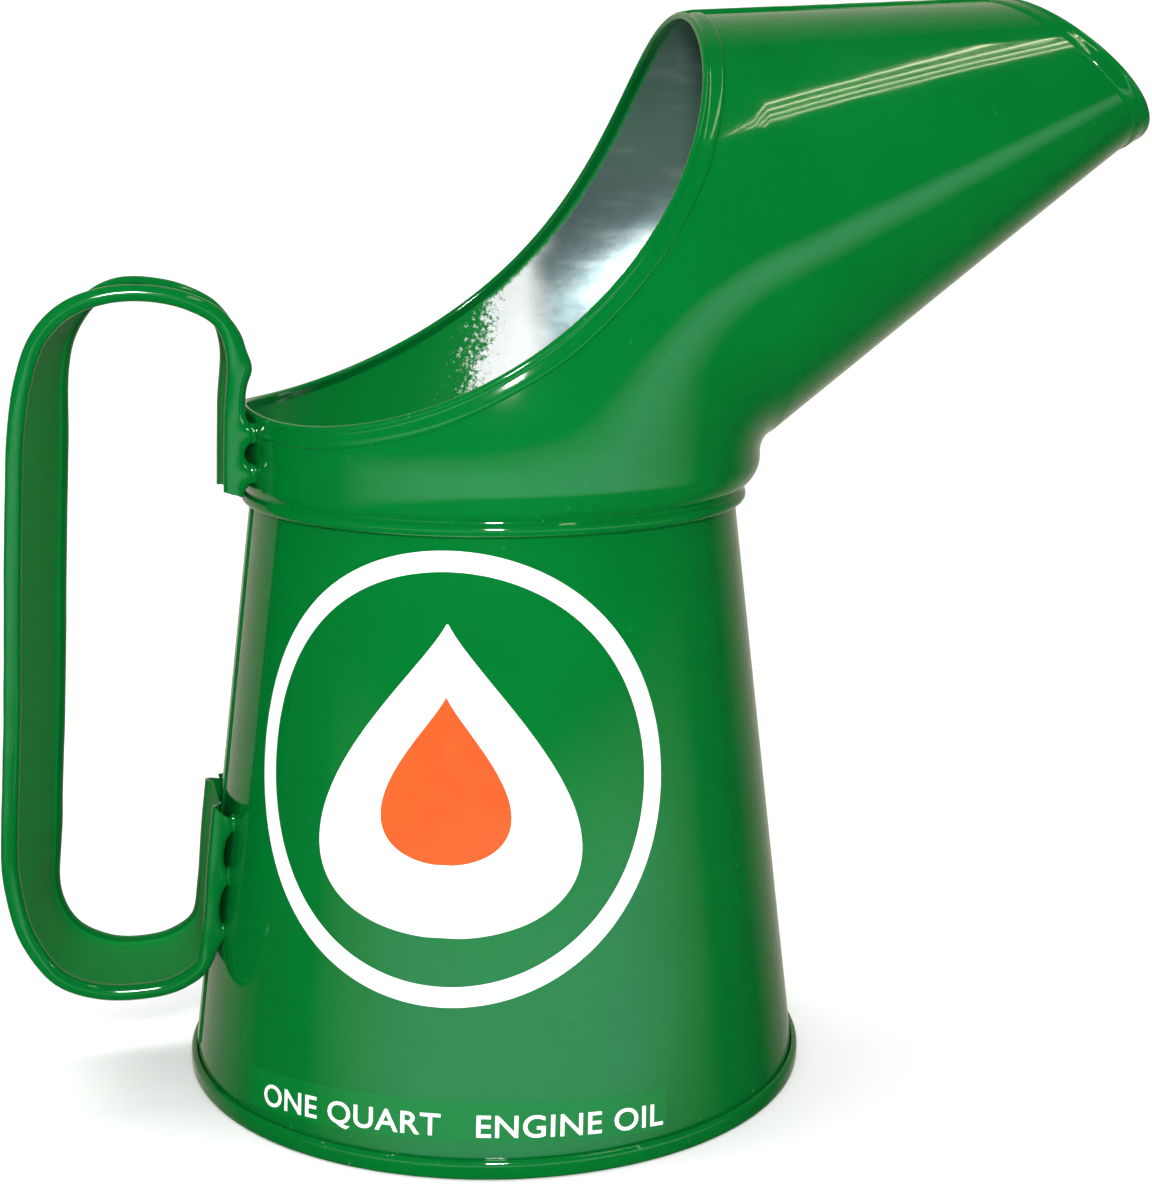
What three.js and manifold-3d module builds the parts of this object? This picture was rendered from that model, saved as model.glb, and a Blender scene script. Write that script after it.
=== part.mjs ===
// A one-quart motor oil can: a tapered tinplate body with a hooded pouring spout and a strap handle.
// Millimetres, +Z up, spout towards +X, handle towards -X. The foot stands on Z = 0.
import * as THREE from 'three';
import { mergeVertices } from 'three/addons/utils/BufferGeometryUtils.js';
import Module from 'manifold-3d';

// Driving dimensions ------------------------------------------------------------------------------
const SHEET = 0.5;                 // tinplate
const GAP = 0.3;                   // clearance kept between touching pieces
const SEGMENTS = 48;               // facets round the can

const BODY_RADIUS = 62.6;          // outside of the body cone, carried down to Z = 0
const BODY_TAPER = 0.1218;         // radius lost for each millimetre of height
const BODY_TOP = 119.4;
const FOOT_RADIUS = 63.5;          // a 127 mm (5 inch) foot
const FOOT_HEIGHT = 3.8;
const BASE_RECESS = 4.2;           // the base disc is sunk this far above the foot
const BASE_WALL = BODY_RADIUS - 2.8;      // radius of the countersunk wall inside the base seam
const FLANGE_Z = 118.4;            // turned-out edge of the body that the neck bead folds over
const FLANGE_WIDTH = 1.2;
const SIDE_SEAM_TOP = 116.8;       // the raised part of the side seam stops under the neck bead

const COLLAR_RADIUS = 51.6;
const COLLAR_OFFSET = 1.6;         // the hood's collar leans this far towards the spout
const THROAT_Z = 127.2;            // height of the crease under the spout
const THROAT_BEND = 1.5;           // inside radius of that crease
const SPOUT_TILT = THREE.MathUtils.degToRad(79.6);   // turn of the hood from collar to spout
const SPOUT_DEPTH = 84.2;          // height of the spout's first section
const SPOUT_HALF_WIDTH = 42.2;
const DEPTH_TAPER = 0.643;         // lost for each millimetre along the spout
const WIDTH_TAPER = 0.1866;
const UNDERSIDE_RISE = 0.517;
const MOUTH_LOW = [131.2, 188.1];  // lip of the pouring mouth, X and Z
const MOUTH_HIGH = [104.0, 215.3];
const FILL_BACK = [-50.0, 137.0];  // the filling opening runs from the back of the collar ...
const FILL_PULL_BACK = [-38.0, 130.5];
const FILL_PULL_TOP = [28.5, 147.0];
const FILL_TOP = [36.2, 211.3];    // ... up to the crest of the hood
const HEM_WIDTH = 4.0;
const HEM_RISE = 0.5;              // a folded hem stands one sheet proud
const SEAM_WIDTH = 5.0;
const SEAM_RISE = 0.8;             // of the hood's crest seam
const BODY_SEAM_RISE = 0.4;
const SOLDER_DEPTH = 0.6;
const SOLDER_HALF_WIDTH = 1.6;
const OUTSIDE = 60;                // reach of cutting blocks, well past the hood

const STRAP_HALF_WIDTH = 13.4;     // centre of the rolled edges from the middle of the strap
const STRAP_EDGE_RADIUS = 1.6;
const STRAP_WEB = 0.6;
const STRAP_SKEW = 3.9;            // the grip was bent a little off square
const STRAP_SKEW_FROM = -66;       // X where the skew starts, and where it is full
const STRAP_SKEW_FULL = -88;
const CORNER_SKEW = { top: 0.75, bottom: 0.4 };    // share of the skew left in the grip's two corners
// Middle line of the strap, X and Z, from the upper end round the grip to the lower end.
const STRAP_LINE = [
  [-52.9, 120.0], [-52.4, 135.0], [-51.7, 147.5], [-53.9, 153.6], [-59.4, 157.1], [-67.0, 158.9],
  [-74.0, 158.6], [-80.2, 155.9], [-84.8, 150.4], [-87.3, 142.5], [-89.2, 120.0], [-91.3, 80.0],
  [-93.2, 45.0], [-92.0, 34.5], [-87.5, 26.8], [-80.5, 23.2], [-72.5, 22.5], [-66.0, 23.7],
  [-61.0, 27.4], [-59.3, 35.5], [-58.2, 47.0], [-56.9, 58.4],
];
const UPPER_TACKS = [124.8, 132.4];         // heights of the brazed tacks on each rolled edge
const LOWER_TACKS = [33.5, 45.0, 55.8];
const TACK_HALF_WIDTH = 1.5;
const TACK_HALF_HEIGHT = 2.3;

const DECAL_ANGLE = THREE.MathUtils.degToRad(-109.7);  // the decals face the side, turned to the handle
const DECAL_Z = 73.2;
const DECAL_RADIUS = 41.8;
const DECAL_RING = 3.8;
const WHITE_DROP = [50, 58];       // width and height
const ORANGE_DROP = [24, 31];
const FILM = 0.2;
const LABEL_Z = 10.7;
const LABEL_HALF_LENGTH = 44.0;
const LABEL_HALF_HEIGHT = 3.8;

// Solids ------------------------------------------------------------------------------------------
const wasm = await Module();
wasm.setup();

function solidOf(geometry) {
  const bare = geometry.clone();
  bare.deleteAttribute('normal');
  bare.deleteAttribute('uv');
  const merged = mergeVertices(bare, 1e-4);
  const triangles = [];
  for (let i = 0; i < merged.index.count; i += 3) {
    const [a, b, c] = [0, 1, 2].map((k) => merged.index.getX(i + k));
    if (a !== b && b !== c && c !== a) triangles.push(a, b, c);
  }
  return new wasm.Manifold(new wasm.Mesh({
    numProp: 3,
    vertProperties: Float32Array.from(merged.attributes.position.array),
    triVerts: Uint32Array.from(triangles),
  }));
}

function geometryOf(solid) {
  const { vertProperties, triVerts } = solid.getMesh();
  const geometry = new THREE.BufferGeometry();
  geometry.setAttribute('position', new THREE.BufferAttribute(vertProperties, 3));
  geometry.setIndex(new THREE.BufferAttribute(triVerts, 1));
  geometry.computeVertexNormals();
  return geometry;
}

// A closed skin through equal rings of points; outline is one ring seen flat, for the two ends.
function ringStack(rings, outline) {
  const count = outline.length;
  const positions = rings.flatMap((ring) => ring.flatMap((p) => [p.x, p.y, p.z]));
  const index = [];
  for (let k = 0; k < rings.length - 1; k++) {
    for (let j = 0; j < count; j++) {
      const a = k * count + j;
      const b = k * count + (j + 1) % count;
      index.push(a, b, b + count, a, b + count, a + count);
    }
  }
  const last = (rings.length - 1) * count;
  for (const [a, b, c] of THREE.ShapeUtils.triangulateShape(outline, [])) {
    index.push(a, c, b, last + a, last + b, last + c);
  }
  const geometry = new THREE.BufferGeometry();
  geometry.setAttribute('position', new THREE.Float32BufferAttribute(positions, 3));
  geometry.setIndex(index);
  return geometry;
}

// A turned piece about Z: the outline is radius and height, anticlockwise, closed by itself.
function turned(outline) {
  const points = [...outline, outline[0]].map(([radius, z]) => new THREE.Vector2(radius, z));
  return solidOf(new THREE.LatheGeometry(points, SEGMENTS).rotateX(Math.PI / 2));
}

// A prism of an outline in X and Z, reaching halfWidth to each side of the middle plane.
function prism(outline, halfWidth) {
  const shape = new THREE.Shape(outline.map(([x, z]) => new THREE.Vector2(x, z)));
  const geometry = new THREE.ExtrudeGeometry(shape, { depth: 2 * halfWidth, bevelEnabled: false });
  return solidOf(geometry.rotateX(Math.PI / 2).translate(0, halfWidth, 0));
}

// Body --------------------------------------------------------------------------------------------
const bodyRadius = (z) => BODY_RADIUS - BODY_TAPER * z;

function bodyShell() {
  const bottom = SHEET + 0.35;     // clear of the base pan's fold
  const hook = BODY_RADIUS + 0.1;
  const flange = bodyRadius(FLANGE_Z) + FLANGE_WIDTH;
  const wall = turned([
    [bodyRadius(bottom) - SHEET, bottom],
    [hook, bottom],
    [hook, bottom + SHEET],
    [bodyRadius(bottom + SHEET), bottom + SHEET],
    [bodyRadius(FLANGE_Z), FLANGE_Z],
    [flange, FLANGE_Z],
    [flange, FLANGE_Z + SHEET],
    [bodyRadius(FLANGE_Z + SHEET), FLANGE_Z + SHEET],
    [bodyRadius(BODY_TOP), BODY_TOP],
    [bodyRadius(BODY_TOP) - SHEET, BODY_TOP],
  ]);
  const [low, high] = [FOOT_HEIGHT + 1.2, SIDE_SEAM_TOP];
  const rooted = SHEET / 2;        // the ridge starts inside the wall, so that the two join
  const ridge = prism([
    [-bodyRadius(low) - BODY_SEAM_RISE, low],
    [-bodyRadius(low) + rooted, low],
    [-bodyRadius(high) + rooted, high],
    [-bodyRadius(high) - BODY_SEAM_RISE, high],
  ], SEAM_WIDTH / 2);
  return wall.add(ridge);
}

function bodySeamSolder() {
  const face = (z) => SHEET + GAP - bodyRadius(z);
  const [low, high] = [BASE_RECESS + 2, BODY_TOP - 2];
  return prism([
    [face(low), low], [face(low) + SOLDER_DEPTH, low],
    [face(high) + SOLDER_DEPTH, high], [face(high), high],
  ], SOLDER_HALF_WIDTH);
}

function basePan() {
  const round = 0.6;               // the rolled edges of the foot
  const lip = FOOT_RADIUS - 1.0;
  const fold = FOOT_RADIUS - SHEET;
  return turned([
    [0, BASE_RECESS], [BASE_WALL, BASE_RECESS], [BASE_WALL, round / 2], [BASE_WALL + round / 2, 0],
    [FOOT_RADIUS - round, 0], [FOOT_RADIUS, round], [FOOT_RADIUS, FOOT_HEIGHT - round],
    [fold, FOOT_HEIGHT], [lip, FOOT_HEIGHT], [lip, FOOT_HEIGHT - SHEET],
    [fold, FOOT_HEIGHT - SHEET - 0.2], [fold, SHEET],
    [BASE_WALL + SHEET, SHEET], [BASE_WALL + SHEET, BASE_RECESS + SHEET], [0, BASE_RECESS + SHEET],
  ]);
}

function baseSeamCompound() {
  const inner = BASE_WALL + SHEET + GAP;
  const [low, high] = [SHEET + 0.4, FOOT_HEIGHT - 0.4];
  return turned([[inner, low], [inner + 0.7, low], [inner + 0.6, high], [inner, high]]);
}

function neckSolderRing() {
  const outer = NECK_RINGS[0][1] - 0.2;
  const [low, high] = [BODY_TOP + GAP, BODY_TOP + 1.5];
  return turned([[outer - 1.3, low], [outer, low], [outer - 0.1, high]]);
}

// Hood --------------------------------------------------------------------------------------------
// Height, radius and forward shift of the rings below the throat: the neck bead, then the shoulder.
const NECK_RINGS = [
  [117.3, 49.2, 0], [117.7, 49.85, 0], [118.2, 50.25, 0], [118.7, 50.35, 0], [119.3, 50.2, 0],
  [119.8, 49.85, 0], [120.1, 49.8, 0], [120.6, 50.2, 0.2], [121.7, 50.9, 0.6], [123.0, 51.3, 1.1],
  [125.0, COLLAR_RADIUS, COLLAR_OFFSET],
];
const spoutAlong = new THREE.Vector2(Math.sin(SPOUT_TILT), Math.cos(SPOUT_TILT));
const spoutUp = new THREE.Vector2(-Math.cos(SPOUT_TILT), Math.sin(SPOUT_TILT));
const pivot = new THREE.Vector2(COLLAR_OFFSET + COLLAR_RADIUS + THROAT_BEND, THROAT_Z);
const FAN_STEPS = 9;
const NARROWING_SLOPE = -0.85;     // lets the sides run on into the spout's straight taper
const SPOUT_STEPS = 3;
const SPOUT_LENGTH = 93;
const OVERRUN = 2;                 // a cutting lump runs on past both ends

function circle(steps) {
  return Array.from({ length: steps }, (_, j) => {
    const angle = (2 * Math.PI * j) / steps;
    return new THREE.Vector2(Math.cos(angle), Math.sin(angle));
  });
}

// One oval section: base is its front point in X and Z, up the direction of its depth.
function section(base, up, depth, halfWidth, inset) {
  return circle(SEGMENTS).map((unit) => {
    const rise = inset + (depth / 2 - inset) * (1 - unit.x);
    return new THREE.Vector3(base.x + up.x * rise, (halfWidth - inset) * unit.y, base.y + up.y * rise);
  });
}

// The hood as a full lump from neck to past the mouth, its skin moved in by inset.
function hoodLump(inset, overrun) {
  const rings = NECK_RINGS.map(([z, radius, shift], k) => circle(SEGMENTS).map((unit) => new THREE.Vector3(
    shift + (radius - inset) * unit.x,
    (radius - inset) * unit.y,
    k === 0 ? z - overrun : z,
  )));
  for (let k = 0; k <= FAN_STEPS; k++) {
    const share = k / FAN_STEPS;
    const ease = share * share * (3 - 2 * share);
    const narrowing = share * share * (1 + NARROWING_SLOPE * (share - 1));
    const angle = SPOUT_TILT * share;
    const up = new THREE.Vector2(-Math.cos(angle), Math.sin(angle));
    const depth = THREE.MathUtils.lerp(2 * COLLAR_RADIUS, SPOUT_DEPTH, ease);
    const halfWidth = THREE.MathUtils.lerp(COLLAR_RADIUS, SPOUT_HALF_WIDTH, narrowing);
    rings.push(section(pivot.clone().addScaledVector(up, THROAT_BEND), up, depth, halfWidth, inset));
  }
  const heel = pivot.clone().addScaledVector(spoutUp, THROAT_BEND);
  for (let k = 1; k <= SPOUT_STEPS; k++) {
    const reach = (SPOUT_LENGTH + overrun) * (k / SPOUT_STEPS);
    const base = heel.clone().addScaledVector(spoutAlong, reach);
    base.addScaledVector(spoutUp, UNDERSIDE_RISE * reach);
    const depth = SPOUT_DEPTH - DEPTH_TAPER * reach;
    rings.push(section(base, spoutUp, depth, SPOUT_HALF_WIDTH - WIDTH_TAPER * reach, inset));
  }
  return solidOf(ringStack(rings, circle(SEGMENTS)));
}

// What the filling opening removes, its edge moved out by grow.
function fillPrism(grow) {
  const curve = new THREE.CubicBezierCurve(...[FILL_BACK, FILL_PULL_BACK, FILL_PULL_TOP, FILL_TOP]
    .map(([x, z]) => new THREE.Vector2(x, z)));
  const steps = 20;
  const edge = curve.getSpacedPoints(steps).map((point, k) => {
    const along = curve.getTangentAt(k / steps);
    return [point.x + along.y * grow, point.y - along.x * grow];
  });
  const far = FILL_BACK[0] - OUTSIDE;
  const high = FILL_TOP[1] + OUTSIDE;
  return prism([[far, edge[0][1]], ...edge, [edge.at(-1)[0], high], [far, high]], OUTSIDE);
}

// What the slanted pouring mouth removes.
function mouthPrism(grow) {
  const low = new THREE.Vector2(...MOUTH_LOW);
  const high = new THREE.Vector2(...MOUTH_HIGH);
  const along = high.clone().sub(low).normalize();
  const out = new THREE.Vector2(along.y, -along.x);
  const corner = (point, reach, depth) => {
    const p = point.clone().addScaledVector(along, reach).addScaledVector(out, depth);
    return [p.x, p.y];
  };
  const past = OUTSIDE / 2;
  return prism([
    corner(low, -past, -grow), corner(low, -past, OUTSIDE),
    corner(high, past, OUTSIDE), corner(high, past, -grow),
  ], OUTSIDE);
}

// The strip of space over the crest of the hood between two X.
function crestSlab(halfWidth, from, to) {
  const low = FILL_TOP[1] - 20;
  const high = FILL_TOP[1] + 20;
  return prism([[from, low], [to, low], [to, high], [from, high]], halfWidth);
}

function hoodShell() {
  const inside = hoodLump(SHEET, OVERRUN);
  const hemmed = hoodLump(-HEM_RISE, 0);
  const fillHem = hemmed.intersect(fillPrism(HEM_WIDTH));
  const mouthHem = hemmed.intersect(mouthPrism(HEM_WIDTH));
  const crest = crestSlab(SEAM_WIDTH / 2, FILL_TOP[0] + 1, MOUTH_HIGH[0] + 3);
  const seam = hoodLump(-SEAM_RISE, 0).intersect(crest);
  return hoodLump(0, 0).add(fillHem).add(mouthHem).add(seam)
    .subtract(inside)
    .subtract(fillPrism(0))
    .subtract(mouthPrism(0));
}

function hoodSeamSolder() {
  const inset = SHEET + GAP;
  const clearOfHem = HEM_WIDTH + 3;
  const crest = crestSlab(SOLDER_HALF_WIDTH, FILL_TOP[0] + clearOfHem, MOUTH_HIGH[0] - clearOfHem);
  return hoodLump(inset, 0).subtract(hoodLump(inset + SOLDER_DEPTH, OVERRUN)).intersect(crest);
}

// Handle ------------------------------------------------------------------------------------------
function strapOutline() {
  const join = Math.asin(STRAP_WEB / 2 / STRAP_EDGE_RADIUS);
  const steps = 7;
  const outline = [];
  for (const side of [1, -1]) {
    for (let k = 0; k <= steps; k++) {
      const angle = -Math.PI + join + (2 * (Math.PI - join) * k) / steps;
      outline.push(new THREE.Vector2(
        side * (STRAP_HALF_WIDTH + STRAP_EDGE_RADIUS * Math.cos(angle)),
        side * STRAP_EDGE_RADIUS * Math.sin(angle),
      ));
    }
  }
  return outline;
}

// The skew fades towards the grip's corners.
function cornerSkew(z) {
  const atTop = THREE.MathUtils.smoothstep(z, 128, 150);
  const atBottom = THREE.MathUtils.smoothstep(-z, -52, -27);
  const { lerp } = THREE.MathUtils;
  return lerp(1, CORNER_SKEW.top, atTop) * lerp(1, CORNER_SKEW.bottom, atBottom);
}

function handleStrap() {
  const steps = 50;
  const points = STRAP_LINE.map(([x, z]) => new THREE.Vector3(x, 0, z));
  const line = new THREE.CatmullRomCurve3(points, false, 'centripetal');
  const outline = strapOutline();
  const across = new THREE.Vector3(0, 1, 0);
  const rings = Array.from({ length: steps + 1 }, (_, k) => {
    const middle = line.getPointAt(k / steps);
    const face = line.getTangentAt(k / steps).cross(across);
    const turn = (middle.x - STRAP_SKEW_FROM) / (STRAP_SKEW_FULL - STRAP_SKEW_FROM);
    const bent = THREE.MathUtils.smoothstep(turn, 0, 1) * cornerSkew(middle.z);
    return outline.map((point) => {
      const p = middle.clone().addScaledVector(across, point.x).addScaledVector(face, point.y);
      p.x += STRAP_SKEW * bent * (point.x / STRAP_HALF_WIDTH);
      return p;
    });
  });
  return solidOf(ringStack(rings, outline));
}

// A blob of braze between a rolled edge of the strap and the wall behind it.
function tack(z, strapX, wallX, side) {
  const nearStrap = strapX + STRAP_EDGE_RADIUS + GAP;
  const nearWall = wallX - GAP;
  const blob = new THREE.SphereGeometry(1, 10, 6);
  blob.scale((nearWall - nearStrap) / 2, TACK_HALF_WIDTH, TACK_HALF_HEIGHT);
  return solidOf(blob.translate((nearStrap + nearWall) / 2, side * STRAP_HALF_WIDTH, z));
}

// X of the strap's inner legs at a height, between the two points of its line that bracket it.
function legX(z, points) {
  const [a, b] = [points.findLast((p) => p[1] <= z), points.find((p) => p[1] > z)];
  return a[0] + ((b[0] - a[0]) * (z - a[1])) / (b[1] - a[1]);
}

const roundX = (radius, shift) => shift - Math.sqrt(radius ** 2 - STRAP_HALF_WIDTH ** 2);

// Decals ------------------------------------------------------------------------------------------
// A flat point of a decal, wrapped on the body cone; lift is the height above the paint.
function wrapped(p, q, z, lift) {
  const slope = Math.atan(BODY_TAPER);
  const apex = bodyRadius(z) / Math.sin(slope);
  const reach = Math.hypot(p, apex - q);
  const angle = DECAL_ANGLE + Math.atan2(p, apex - q) / Math.sin(slope);
  const radius = reach * Math.sin(slope);
  const height = (BODY_RADIUS - radius) / BODY_TAPER;
  return new THREE.Vector3((radius + lift) * Math.cos(angle), (radius + lift) * Math.sin(angle), height);
}

// A thin film through rows of flat points; a looped film joins its last row to its first.
function film(rows, z, lift, looped) {
  const rings = rows.map((row) => [
    ...row.map(([p, q]) => wrapped(p, q, z, lift + FILM)),
    ...row.toReversed().map(([p, q]) => wrapped(p, q, z, lift)),
  ]);
  const count = rings[0].length;
  const positions = rings.flatMap((ring) => ring.flatMap((p) => [p.x, p.y, p.z]));
  const index = [];
  const last = looped ? rings.length : rings.length - 1;
  for (let k = 0; k < last; k++) {
    const next = (k + 1) % rings.length;
    for (let j = 0; j < count; j++) {
      const [a, b] = [k * count + j, k * count + (j + 1) % count];
      const [c, d] = [next * count + j, next * count + (j + 1) % count];
      index.push(a, b, d, a, d, c);
    }
  }
  const capped = looped ? [] : [0, (rings.length - 1) * count];
  capped.forEach((start, end) => {
    for (let j = 0; j < count / 2 - 1; j++) {
      const [a, b, c, d] = [start + j, start + j + 1, start + count - 2 - j, start + count - 1 - j];
      index.push(...(end ? [a, b, c, a, c, d] : [a, c, b, a, d, c]));
    }
  });
  const geometry = new THREE.BufferGeometry();
  geometry.setAttribute('position', new THREE.Float32BufferAttribute(positions, 3));
  geometry.setIndex(index);
  return solidOf(geometry);
}

function ringFilm() {
  const rows = circle(64).map((unit) => [DECAL_RADIUS - DECAL_RING, DECAL_RADIUS]
    .map((radius) => [radius * unit.x, radius * unit.y]));
  return film(rows, DECAL_Z, GAP, true);
}

// An oil drop, round at the bottom and drawn out to a point at the top.
function dropFilm(width, height, lift) {
  const columns = 8;
  const steps = 14;
  const widest = 0.69;             // the largest value that the drop's outline formula takes
  const rows = Array.from({ length: steps + 1 }, (_, k) => {
    const turn = THREE.MathUtils.lerp(0.05, 0.93, k / steps) * Math.PI;
    const half = (width / 2) * (Math.sin(turn) / widest) * Math.cos(turn / 2) ** 1.5;
    const q = (-height / 2) * Math.cos(turn);
    return Array.from({ length: columns + 1 }, (_, j) => [half * ((2 * j) / columns - 1), q]);
  });
  return film(rows, DECAL_Z, lift, false);
}

function labelFilm() {
  const steps = 20;
  const rows = Array.from({ length: steps + 1 }, (_, k) => {
    const p = LABEL_HALF_LENGTH * (1 - (2 * k) / steps);
    return [[p, -LABEL_HALF_HEIGHT], [p, LABEL_HALF_HEIGHT]];
  });
  return film(rows, LABEL_Z, GAP, false);
}

// Assembly ----------------------------------------------------------------------------------------
const paint = new THREE.MeshStandardMaterial({ color: 0x0b7a35, roughness: 0.25, metalness: 0 });
const solder = new THREE.MeshStandardMaterial({ color: 0x9a9c9e, roughness: 0.45, metalness: 1 });
const compound = new THREE.MeshStandardMaterial({ color: 0x6e6a5a, roughness: 0.8, metalness: 0 });
const white = new THREE.MeshStandardMaterial({ color: 0xf3f5f4, roughness: 0.35, metalness: 0 });
const orange = new THREE.MeshStandardMaterial({ color: 0xff4a12, roughness: 0.35, metalness: 0 });
const clear = new THREE.MeshStandardMaterial({ color: 0xdfe8e0, roughness: 0.2, metalness: 0 });

const can = new THREE.Group();
function place(name, solid, material) {
  const mesh = new THREE.Mesh(geometryOf(solid), material);
  mesh.name = name;
  can.add(mesh);
}

place('body_shell', bodyShell(), paint);
place('body_seam_solder', bodySeamSolder(), solder);
place('base_pan', basePan(), paint);
place('base_seam_compound', baseSeamCompound(), compound);
place('neck_solder_ring', neckSolderRing(), solder);
place('hood_shell', hoodShell(), paint);
place('hood_seam_solder', hoodSeamSolder(), solder);
place('handle_strap', handleStrap(), paint);
for (const [name, side] of [['near', -1], ['far', 1]]) {
  UPPER_TACKS.forEach((z, k) => {
    const wall = roundX(COLLAR_RADIUS, COLLAR_OFFSET);
    place(`upper_tack_${name}_${k + 1}`, tack(z, legX(z, STRAP_LINE), wall, side), solder);
  });
  LOWER_TACKS.forEach((z, k) => {
    const leg = legX(z, STRAP_LINE.slice(-5));
    place(`lower_tack_${name}_${k + 1}`, tack(z, leg, roundX(bodyRadius(z), 0), side), solder);
  });
}
place('ring_decal', ringFilm(), white);
place('white_drop_decal', dropFilm(...WHITE_DROP, GAP), white);
place('orange_drop_decal', dropFilm(...ORANGE_DROP, GAP + 2 * FILM), orange);
place('label_decal', labelFilm(), clear);

const box = new THREE.Box3().setFromObject(can);
can.position.x = -(box.min.x + box.max.x) / 2;

export default can;
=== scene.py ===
import math

import bpy
import numpy as np
from mathutils import Matrix, Vector, noise

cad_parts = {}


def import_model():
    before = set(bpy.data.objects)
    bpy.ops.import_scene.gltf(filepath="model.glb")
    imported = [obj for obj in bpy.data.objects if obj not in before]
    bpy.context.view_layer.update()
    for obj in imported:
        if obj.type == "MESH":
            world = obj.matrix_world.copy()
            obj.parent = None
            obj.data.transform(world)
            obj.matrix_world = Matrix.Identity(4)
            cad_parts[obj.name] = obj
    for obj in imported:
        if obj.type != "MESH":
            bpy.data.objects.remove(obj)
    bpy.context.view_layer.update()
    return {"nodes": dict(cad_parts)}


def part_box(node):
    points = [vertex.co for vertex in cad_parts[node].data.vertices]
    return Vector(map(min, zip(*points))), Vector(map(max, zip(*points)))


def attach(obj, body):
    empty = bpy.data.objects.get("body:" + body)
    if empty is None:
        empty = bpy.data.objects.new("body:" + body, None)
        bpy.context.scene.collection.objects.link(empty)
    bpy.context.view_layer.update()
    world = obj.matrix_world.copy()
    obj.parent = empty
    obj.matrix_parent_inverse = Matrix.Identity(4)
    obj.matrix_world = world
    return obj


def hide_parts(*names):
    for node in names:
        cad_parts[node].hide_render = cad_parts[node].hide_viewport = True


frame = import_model()

# Down to the studio, everything is in millimetres from the can's own axis, +X to the spout and +Z up.
# mesh_piece() takes it to metres in the row frame.
MM = 0.001
foot_low, foot_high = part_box("base_pan")
AXIS_X = (foot_low.x + foot_high.x) / 2 / MM

# Dimensions of the can ------------
SHEET = 0.5
BODY_RADIUS = 62.6                     # at floor level
BODY_TAPER = 0.1218                    # fall in radius for each millimetre up
BODY_BOTTOM = 1.0
BODY_TOP = 119.4
FOOT_RADIUS = 63.5
FOOT_HEIGHT = 3.8
BASE_RECESS = 4.2
BASE_WALL = BODY_RADIUS - 2.8          # radius of the wall round the sunk disc
SEAM_HALF = 2.75                       # half the width of a locked seam
SEAM_FLANK = 0.5                       # run of its sloped sides
SEAM_RISE = 0.8                        # on the hood's crest
BODY_SEAM_RISE = 0.4
BODY_SEAM_LOW = 5.0
BODY_SEAM_HIGH = 117.0

SOLDER_HALF_WIDTH = 1.6

COLLAR_RADIUS = 51.6
COLLAR_OFFSET = 1.6
THROAT_Z = 127.2
THROAT_BEND = 1.5
SPOUT_TILT = math.radians(79.6)
SPOUT_DEPTH = 84.2
SPOUT_HALF_WIDTH = 42.2
DEPTH_TAPER = 0.643
WIDTH_TAPER = 0.1866
UNDERSIDE_RISE = 0.517
SPOUT_LENGTH = 94.0
NARROWING_SLOPE = -0.85
MOUTH_LOW = np.array([131.2, 188.1])
MOUTH_HIGH = np.array([104.0, 215.3])
FILL_CURVE = np.array([[-50.0, 137.0], [-38.0, 130.5], [28.5, 147.0], [36.2, 211.3]])
HEM_RADIUS = 0.72
HEM_CLEARANCE = 7.0                    # the crest's solder stops this far from each hem
# Height, radius and forward shift of the rings from the neck bead to the collar.
NECK = [
    [118.0, 48.35, 0], [117.5, 48.7, 0], [117.3, 49.3, 0], [117.5, 49.95, 0], [118.05, 50.35, 0],
    [118.7, 50.45, 0], [119.35, 50.25, 0], [119.85, 49.85, 0], [120.2, 49.78, 0], [120.65, 50.15, 0.2],
    [121.6, 50.8, 0.6], [122.9, 51.25, 1.1], [124.6, 51.55, 1.5], [126.0, COLLAR_RADIUS, COLLAR_OFFSET],
    [THROAT_Z, COLLAR_RADIUS, COLLAR_OFFSET],
]

STRAP_LINE = [
    [-52.9, 120.0], [-52.4, 135.0], [-51.7, 147.5], [-53.9, 153.6], [-59.4, 157.1], [-67.0, 158.9],
    [-74.0, 158.6], [-80.2, 155.9], [-84.8, 150.4], [-87.3, 142.5], [-89.2, 120.0], [-91.3, 80.0],
    [-93.2, 45.0], [-92.0, 34.5], [-87.5, 26.8], [-80.5, 23.2], [-72.5, 22.5], [-66.0, 23.7],
    [-61.0, 27.4], [-59.3, 35.5], [-58.2, 47.0], [-56.9, 58.4],
]
STRAP_HALF_WIDTH = 13.4
WEB_HALF_WIDTH = 10.6
WEB_SHARE, BEND_SHARE = 0.30, 0.45     # shares of the half section where the flat web and the bend end
DULL_SHARE = 0.36                      # the web's dull paint ends here
STRAP_SHEET = 0.6
CURL_RADIUS = 1.3                      # middle of the curled sheet
# The two legs. Their curls are open, and the lips stand out to the wall at the bumps' heights.
UPPER_BUMPS = [124.8, 132.4, 145.0]
LOWER_BUMPS = [33.5, 45.0, 55.8]
WEAK_BUMP_Z, WEAK_BUMP = 140.0, 0.35   # a bump above this height stands out less
UPPER_GAP, LOWER_GAP = 4.4, 2.9        # from the strap's line to the wall
UPPER_REACH, LOWER_REACH = 2.0, 1.25   # of the lips between bumps
UPPER_LEG_TOP, LOWER_LEG_FOOT = 154.0, 26.0
UPPER_LEG_BACK, LOWER_LEG_BACK = -60.0, -64.0
# The grip is bent askew by STRAP_SKEW at each edge, and by less in its two corners.
STRAP_SKEW = 3.9
SKEW_FROM, SKEW_FULL = -66.0, -88.0
TOP_SKEW, BOTTOM_SKEW = 0.75, 0.4
TOP_CORNER, BOTTOM_CORNER = 128.0, 52.0

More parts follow.
